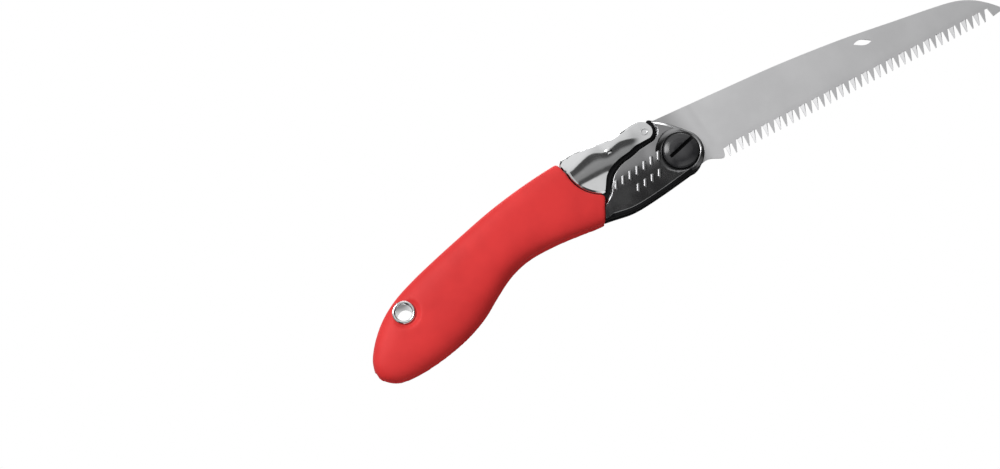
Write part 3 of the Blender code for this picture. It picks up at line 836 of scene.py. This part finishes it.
# %% [markdown]
# ## The bolster's side plates
#
# Each side plate is a pressed black box: a flat base with a raised panel, whose edge is a crisp
# chamfer everywhere but at the rear, where the grip meets it. The bolt head sits in a round dish,
# and short raised bars give the panel some tooth. The base and the panel are plates, and a bevel
# of one segment gives the chamfer. The panel's top is sliced into a grid and crowned: it is upright
# above and leans down below, so that it mirrors the bright wall above and the dark below, as
# pressed sheet does. The dish is cut with a turned shape, before the bars are joined on.

# %% Side plate
LOCK_PIN, LEVER_PIN = (-11.7, 17.8), (-33.1, 17.3)
LUG_R = 4.3
PLATE_IN, PLATE_OUT, PANEL_OUT = 2.5, 5.2, 7.0
CHAMFER, RIM = 1.6, 0.22
REAR_X = -46.2  # the panel's edge has no chamfer behind this
BASE_FACE = 5.78  # faces closer to the middle plane than this belong to the base

plate_edge = (arc((0.4, -0.6), 11.9, -80, 38, 48)
              + [(6.4, 10.7), (1.6, 15.8), (-3.3, 19.8), (-6.4, 22.3), (-7.4, 22.6),
                 (-9.2, 21.4), (-12.0, 21.2), (-20.0, 20.9), (-33.0, 20.3), (-46.0, 20.2),
                 (-56.6, 20.0)]
              + arc(LEVER_ARC, LEVER_ARC_R + 0.4, 180, 244, 20)
              + [(-45.8, -3.6), (-48.5, -7.9), (-50.2, -11.3), (-51.3, -13.7)]
              + curve([(-46.0, -14.5), (-38.0, -15.9), (-32.0, -16.1), (-25.0, -15.6),
                       (-16.0, -14.6), (-7.0, -13.4), (0.5, -12.3)], 4))
panel_front = curve([(9.9, 6.4), (6.2, 10.6), (1.4, 15.6), (-3.4, 19.5)], 4)[1:]
panel_lever = (arc(LOCK_PIN, LUG_R + 1.2, -2, -82, 16)
               + curve([(-18.7, 11.6), (-24.6, 10.1), (-29.0, 9.5), (-33.0, 8.2), (-36.4, 6.3),
                        (-38.9, 4.0), (-40.9, 1.2), (-42.6, -1.6), (-45.2, -4.1)], 4))
panel_rear = [(-48.5, -7.9), (-50.2, -11.2), (-51.2, -13.4)]
panel_bottom = curve([(-46.0, -14.2), (-38.0, -15.6), (-32.0, -15.8), (-25.0, -15.3),
                      (-16.0, -14.3), (-7.0, -13.1), (0.5, -12.0)], 4)
panel_edge = (arc((0.4, -0.6), 11.7, -80, 36, 48) + panel_front
              + [(LOCK_PIN[0] + LUG_R + 1.2, 21.3)] + panel_lever + panel_rear + panel_bottom)


def crown(x, z):
    """How far the panel's top stands out beyond PANEL_OUT, in millimetres.

    It falls away below and towards both ends, and swells under the bolt's dish.
    """
    upright_to, steady_from, slope = 5.5, 8.0, 0.12
    below = max(0.0, upright_to - z)
    lean = slope * (min(below, steady_from) ** 2 / (2 * steady_from)
                    + max(0.0, below - steady_from))
    r = (x * x + z * z) ** 0.5
    swell = max(0.0, 1.0 - (max(r - 11.0, 0.0) / 7.0) ** 2)
    swell *= min(max((3.0 - 0.7 * (x + z)) / 8.0, 0.0), 1.0)
    return 1.0 - lean - 0.35 * ((x + 26.0) / 34.0) ** 2 + 0.5 * swell


def on_top(bm):
    return [f for f in bm.faces if f.calc_center_median().y < -(PANEL_OUT - 0.05) * MM
            and f.normal.y < -0.9]


def raised_panel():
    bm = slab(panel_edge, -(PLATE_OUT - 0.7), -PANEL_OUT)
    crisp = [e for e in bm.edges if all(v.co.y < -(PANEL_OUT - 0.01) * MM for v in e.verts)
             and sum(v.co.x for v in e.verts) / 2 > spot(REAR_X, 0).x]
    soften(bm, crisp, CHAMFER, 1, clamp=False)
    rim = [e for e in bm.edges if len(e.link_faces) == 2 and e.calc_face_angle(0) > 0.35
           and max(v.co.y for v in e.verts) < -(PLATE_OUT + 0.2) * MM]
    soften(bm, rim, RIM, 3)
    slice_at(bm, [spot(-52.0 + 1.5 * i, 0) for i in range(44)], (1, 0, 0), on_top)
    slice_at(bm, [spot(0, -16.0 + 1.5 * i) for i in range(26)], (0, 0, 1), on_top)
    for v in bm.verts:
        if v.co.y < -(PANEL_OUT - 0.3) * MM:
            x, z = (v.co - PIVOT).xz / MM
            v.co.y -= crown(x, z) * MM
    return bm


plate_base = slab(plate_edge, -PLATE_IN, -PLATE_OUT)
soften(plate_base, [e for e in plate_base.edges
                    if all(v.co.y < -(PLATE_OUT - 0.01) * MM for v in e.verts)], 0.3, 2)
side_plate = carve(plate_base, raised_panel(), operation="UNION")
print("side plate blank:", len(side_plate.faces), "faces")

# %% Dish and marks on the side plate
DISH_FLOOR = 5.6  # how far out the flat that the bolt head stands on is
dish = turned((0, 0), [(0, -DISH_FLOOR), (9.4, -DISH_FLOOR), (9.5, -6.3), (9.8, -6.6),
                       (10.5, -6.85), (11.3, -7.15), (12.1, -7.55), (12.8, -8.0), (13.4, -8.5),
                       (13.4, -20), (0, -20)], steps=96)
pin_gate = slab(arc(LOCK_PIN, 1.9, 180, 360, 12) + [(-9.8, 30.0), (-13.6, 30.0)], -20, 20)
pin_ways = [turned(centre, [(0, -20), (r, -20), (r, 20), (0, 20)], steps=32)
            for centre, r in (((0, 0), 4.05), (LEVER_PIN, 1.65))]
hollow = slab([(-14.5, 8.4), (-26.0, 6.6), (-33.5, 4.0), (-38.5, -1.5), (-44.0, -7.6),
               (-46.5, -11.2), (-33.0, -13.0), (-14.5, -11.4)], 0, -5.6)
side_plate = carve(side_plate, dish, pin_gate, *pin_ways, hollow)


def bar(x, z, length, turn):
    """A short raised bar with a round back, standing on the panel."""
    end = 0.95  # half its width
    c, s = cos(radians(turn)), sin(radians(turn))
    outline = [(x + u * c - v * s, z + u * s + v * c) for u, v in
               arc((length / 2 - end, 0), end, -90, 90, 8)
               + arc((end - length / 2, 0), end, 90, 270, 8)]
    lift = crown(x, z)
    bm = slab(outline, -(PANEL_OUT - 0.6 + lift), -(PANEL_OUT + 0.6 + lift))
    soften(bm, [e for e in bm.edges if all(v.co.y < -(PANEL_OUT + 0.58 + lift) * MM
                                           for v in e.verts)], 0.6, 4)
    return bm


# Each bar's place, length and turn: two rows that climb towards the bolt.
BARS = ([(-38.2 + 4.4 * i, -0.45 + 0.53 * i, 5.7, 63.0) for i in range(7)]
        + [(-28.7 + 4.4 * i, -6.95 + 0.53 * i, 4.9, 63.0) for i in range(4)])
side_plate = carve(side_plate, *[bar(*place_of) for place_of in BARS], operation="UNION")
side_plate.normal_update()
for face in side_plate.faces:
    x, z = (face.calc_center_median() - PIVOT).xz / MM
    wide = face.calc_area() > 0.5 * MM * MM  # narrower faces are the chamfer's bright rim
    low_chamfer = wide and face.normal.z < -0.22 and z < -0.35 * x - 11.0
    if low_chamfer or face.calc_center_median().y > -BASE_FACE * MM:
        face.material_index = 1  # base and low chamfer: unpolished, near black as painted shade
far_plate = mirrored(side_plate)
place("side_plate_left", side_plate, BLACK_NICKEL, "handle", "black_plate", "side_plate_near",
      sharp=35.0, second=SHADE_BLACK, weighted=True)
place("side_plate_right", far_plate, BLACK_NICKEL, "handle", "black_plate", "side_plate_far",
      sharp=35.0, second=SHADE_BLACK, weighted=True)

# %% [markdown]
# ## The lock lever
#
# The lever is one sheet of chromed steel, pressed into a saddle over the bolster: a thumb rest on
# top and a cheek down each side, with a ridge under the thumb rest, a shallow hollow below it and
# a rim that curls in beside the grip. A solid of its outline gets a large bevel along the top, for
# the bends. The faces under it are deleted, which leaves an open skin. The cheeks are sliced into
# a grid, along the rear rim as well, and their points are moved in and out. A Solidify modifier
# then gives the sheet its thickness. That is close to how it is pressed, and it keeps the bends
# even.

# %% Lever
SHEET = 1.0
CHEEK_OUT = 6.7
lever_top = curve([(-57.2, 24.5), (-47.8, 24.9), (-39.6, 24.0), (-30.4, 22.8), (-25.0, 23.0),
                   (-18.2, 24.0), (-11.8, 24.3), (-9.6, 23.3)], 5)
lever_low = curve([(-12.4, 13.6), (-18.8, 13.4), (-23.7, 12.1), (-28.7, 11.4), (-33.6, 10.1),
                   (-37.6, 8.1), (-40.3, 5.8), (-42.9, 1.9), (-44.8, -1.0)], 4)[4:]
lever_edge = (lever_top + arc(LOCK_PIN, LUG_R, 30, -80, 20) + lever_low
              + arc(LEVER_ARC, LEVER_ARC_R, 245, 180, 36) + [(-58.4, 21.5), (-58.3, 23.4)])


RIDGE = curve([(-60.0, 17.0), (-55.0, 17.4), (-50.0, 19.0), (-44.0, 20.6), (-39.5, 20.2),
               (-35.5, 18.2), (-32.0, 18.4), (-26.0, 19.6), (-19.0, 18.2), (-12.0, 16.0)], 6)
HOLLOW_END = 8.0  # the height where the cheek is flat again
# How much the cheek leans, in degrees, by how far below the ridge a place is: 0 at the ridge and 1
# where the hollow ends. A leaning face mirrors a lower part of the room.
LEAN = [(-0.40, 9.0), (-0.05, 7.5), (0.0, 0.0), (0.10, -5.6), (0.24, -5.0), (0.42, -3.0),
        (0.76, -3.1), (0.88, -5.0), (0.96, -4.4), (1.04, 0.3), (1.7, 0.0)]
CURL = 1.3  # the width of the rim that turns in along the rear arc


def eased(value):
    value = min(max(value, 0.0), 1.0)
    return value * value * (3 - 2 * value)


def along(line, at):
    """The second value of a line of points where its first value is `at`."""
    for (a, low), (b, high) in zip(line, line[1:]):
        if at <= b:
            return low + (high - low) * min(max((at - a) / (b - a), 0.0), 1.0)
    return line[-1][1]


def cheek_form(x, z):
    """The cheek's pressed form, in millimetres out from flat.

    Going up the cheek from below the hollow, it moves out or in a little at each step, by the
    degrees in LEAN. The form fades out towards the front lug.
    """
    ridge = along(RIDGE, x)
    depth = ridge - HOLLOW_END
    low, out, step = HOLLOW_END - 0.7 * depth, 0.0, 0.1
    while low < z:
        lean = along(LEAN, (ridge - low) / depth)
        out -= sin(radians(lean)) * step
        low += step
    return out * eased((-12.5 - x) / 9.0)


def curl_form(x, z):
    """How far the rear rim turns in, in millimetres."""
    reach = (Vector((x, z)) - Vector(LEVER_ARC)).length - (LEVER_ARC_R - CURL)
    return 0.42 * max(reach, 0.0) * eased((20.0 - z) / 4.0) if x < -40.0 else 0.0


def cheeks(bm):
    return [f for f in bm.faces if abs(f.normal.y) > 0.95]


lever = slab(lever_edge, -CHEEK_OUT, CHEEK_OUT)
bends = [e for e in lever.edges if abs(e.verts[0].co.y - e.verts[1].co.y) < 1e-7
         and min(v.co.z for v in e.verts) > PIVOT.z + 22.5 * MM]
soften(lever, bends, 2.2, 6)
under = [f for f in lever.faces if abs(f.normal.y) < 0.05
         and f.calc_center_median().z < PIVOT.z + 22.6 * MM]
bmesh.ops.delete(lever, geom=under, context="FACES")
for x, z in arc(LEVER_ARC, LEVER_ARC_R - CURL, 184, 244, 10):
    slice_at(lever, [spot(x, z)], (x - LEVER_ARC[0], 0, z - LEVER_ARC[1]), cheeks)
slice_at(lever, [spot(-58.0 + 1.0 * i, 0) for i in range(51)], (1, 0, 0))
slice_at(lever, [spot(0, -1.0 + 0.8 * i) for i in range(30)], (0, 0, 1), cheeks)
for v in lever.verts:
    if abs(v.co.y) > (CHEEK_OUT - 0.05) * MM:
        x, z = (v.co - PIVOT).xz / MM
        v.co.y += (cheek_form(x, z) - curl_form(x, z)) * MM * (1 if v.co.y > 0 else -1)
bmesh.ops.remove_doubles(lever, verts=lever.verts, dist=0.04 * MM)
bmesh.ops.recalc_face_normals(lever, faces=lever.faces)
if sum(f.normal.z * f.calc_area() for f in lever.faces) < 0:
    bmesh.ops.reverse_faces(lever, faces=lever.faces)
blank = as_object(lever, "lever_blank")
wall = blank.modifiers.new("sheet", "SOLIDIFY")
wall.thickness, wall.offset, wall.use_even_offset = SHEET * MM, -1.0, True
rim = blank.modifiers.new("rim", "BEVEL")
rim.width, rim.segments, rim.limit_method, rim.angle_limit = 0.28 * MM, 5, "ANGLE", radians(55)
place("thumb_lever", settled(blank), CHROME, "lever", "chrome", "lock_lever", sharp=20.0,
      weighted=True)

# %% [markdown]
# ## The lever's pins
#
# The lever rocks on a stud with a pointed head, riveted through both cheeks. The catch pin in its
# front lug is what holds the blade, and its ends are peened nearly flush. Both are spun from half
# a profile.

# %% Lever pins
def pin(name, centre, head, body, node_name):
    """A pin through both cheeks, from half a profile of (radius, distance out) points."""
    profile = [(r, -y) for r, y in reversed(head)]
    profile = [(0.0, -head[-1][1])] + profile + head + [(0.0, head[-1][1])]
    bm = turned(centre, profile, steps=48)
    place(name, bm, CHROME, body, "chrome", node_name)


pin("pivot_stud", LEVER_PIN, [(1.5, 7.2), (1.85, 7.2), (1.9, 7.5), (1.7, 7.95), (1.2, 8.3),
                              (0.6, 8.45)], "handle", "lever_pin")
pin("catch_pin", LOCK_PIN, [(1.5, 6.5), (2.05, 6.5), (2.05, 6.76), (1.95, 6.84), (1.5, 6.86),
                            (1.42, 6.8), (1.3, 6.78), (0.6, 6.8)], "lever", "lock_pin")

# %% [markdown]
# ## The lever's spring
#
# A bent leaf of spring steel lifts the lever's tail. It gives way when the lever is pressed. This
# copy of the CAD leaf is given a mesh of its own, on the handle.

leaf = bmesh.new()
leaf.from_mesh(frame["nodes"]["lever_spring"].data)
leaf_piece = place("leaf_spring", leaf, STEEL, "handle", "steel", "lever_spring")
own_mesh(leaf_piece)

# %% [markdown]
# ## The pivot bolt and its nut
#
# The bolt head is a low button that is turned on a lathe and slotted for a coin, so that the
# blade's stiffness can be set without a tool. The nut on the far side is the same button, with two
# small holes for a pin spanner. Both are spun from a profile; the slot is a plate taken out with a
# Boolean, and a narrow Bevel modifier breaks its edges.

# %% Bolt and nut
HEAD_R = 9.2
COIN_SLOT_TURN = 15.0  # degrees
SLOT_MIDDLE, SLOT_WIDE = 0.85, 1.9
SLOT_ENDS = (-6.6, 9.9)  # it runs out through the rim at one end only
SLOT_FLOOR = 7.7
NUT_BASE = 6.4


def button(base):
    """A button head's profile, from its rim to its face."""
    return [(HEAD_R, base), (HEAD_R, 7.5), (9.15, 7.9), (9.0, 8.25), (8.75, 8.55), (8.4, 8.75),
            (6.2, 9.65), (6.0, 9.7)]


def broken_edges(bm, width):
    """Breaks every hard edge by a narrow rounding."""
    obj = as_object(bm)
    step = obj.modifiers.new("edges", "BEVEL")
    step.width, step.segments, step.limit_method = width * MM, 2, "ANGLE"
    step.angle_limit = radians(50)
    return settled(obj)


near = [(r, -y) for r, y in reversed(button(5.75))]
bolt = turned((0, 0), [(0, -9.8), (4.0, -9.76)] + near
              + [(3.9, -5.75), (3.9, 9.3), (3.6, 9.5), (0, 9.5)], steps=96)
c, s = cos(radians(COIN_SLOT_TURN)), sin(radians(COIN_SLOT_TURN))
slot_low, slot_high = SLOT_MIDDLE - SLOT_WIDE / 2, SLOT_MIDDLE + SLOT_WIDE / 2
slot_edge = [(u * c - v * s, u * s + v * c) for u, v in
             ((SLOT_ENDS[1], slot_high), (SLOT_ENDS[0], slot_high),
              (SLOT_ENDS[0], slot_low), (SLOT_ENDS[1], slot_low))]
bolt = broken_edges(carve(bolt, slab(slot_edge, -20, -SLOT_FLOOR)), 0.12)
for face in bolt.faces:
    x, z = (face.calc_center_median() - PIVOT).xz / MM
    in_slot = abs(z * c - x * s - SLOT_MIDDLE) < 1.05 and x * c + z * s > -6.9
    sunk = -9.0 < face.calc_center_median().y / MM < -7.0 and face.normal.y < 0.1
    if in_slot and sunk and Vector((x, z)).length < HEAD_R - 0.1:
        face.material_index = 1  # the slot: unpolished, near black as painted shade
place("coin_bolt", bolt, BLACK_ENAMEL, "handle", "black_plate", "pivot_bolt", second=SHADE_BLACK)

nut = turned((0, 0), button(NUT_BASE) + [(5.6, 9.75), (4.5, 9.8), (4.05, 9.5), (4.05, NUT_BASE)],
             ring=True, steps=96)
spanner_holes = [turned((6.1 * a, 6.1 * b), [(0, 8.6), (0.8, 8.6), (0.8, 20), (0, 20)], steps=24)
                 for a, b in ((1, 0), (-1, 0))]
nut = carve(nut, *spanner_holes)
place("bolt_nut", broken_edges(nut, 0.1), BLACK_ENAMEL, "handle", "black_plate", "pivot_nut")

# %% [markdown]
# ## The eyelet
#
# A cord or a hook goes through this rolled tube near the end of the grip. Its lips curl outwards
# and catch a bright line of light, so the profile is a curve, not a flat flange.

# %% Eyelet
LIP = [(4.66, 9.75), (5.75, 9.78), (6.0, 10.0), (5.9, 10.35), (5.5, 10.62), (5.0, 10.68),
       (4.55, 10.5), (4.3, 10.1), (4.2, 9.4)]
eyelet = turned(EYELET, LIP + [(r, -y) for r, y in reversed(LIP)], ring=True, steps=72)
place("rolled_eyelet", eyelet, CHROME, "handle", "chrome", "eyelet", sharp=50.0)

# %% Finish
boxes = {"cad": cad_box, "visual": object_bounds()}
for name, (low, high) in boxes.items():
    print(name, "box in mm:", [round(v * 1000, 1) for v in high - low])
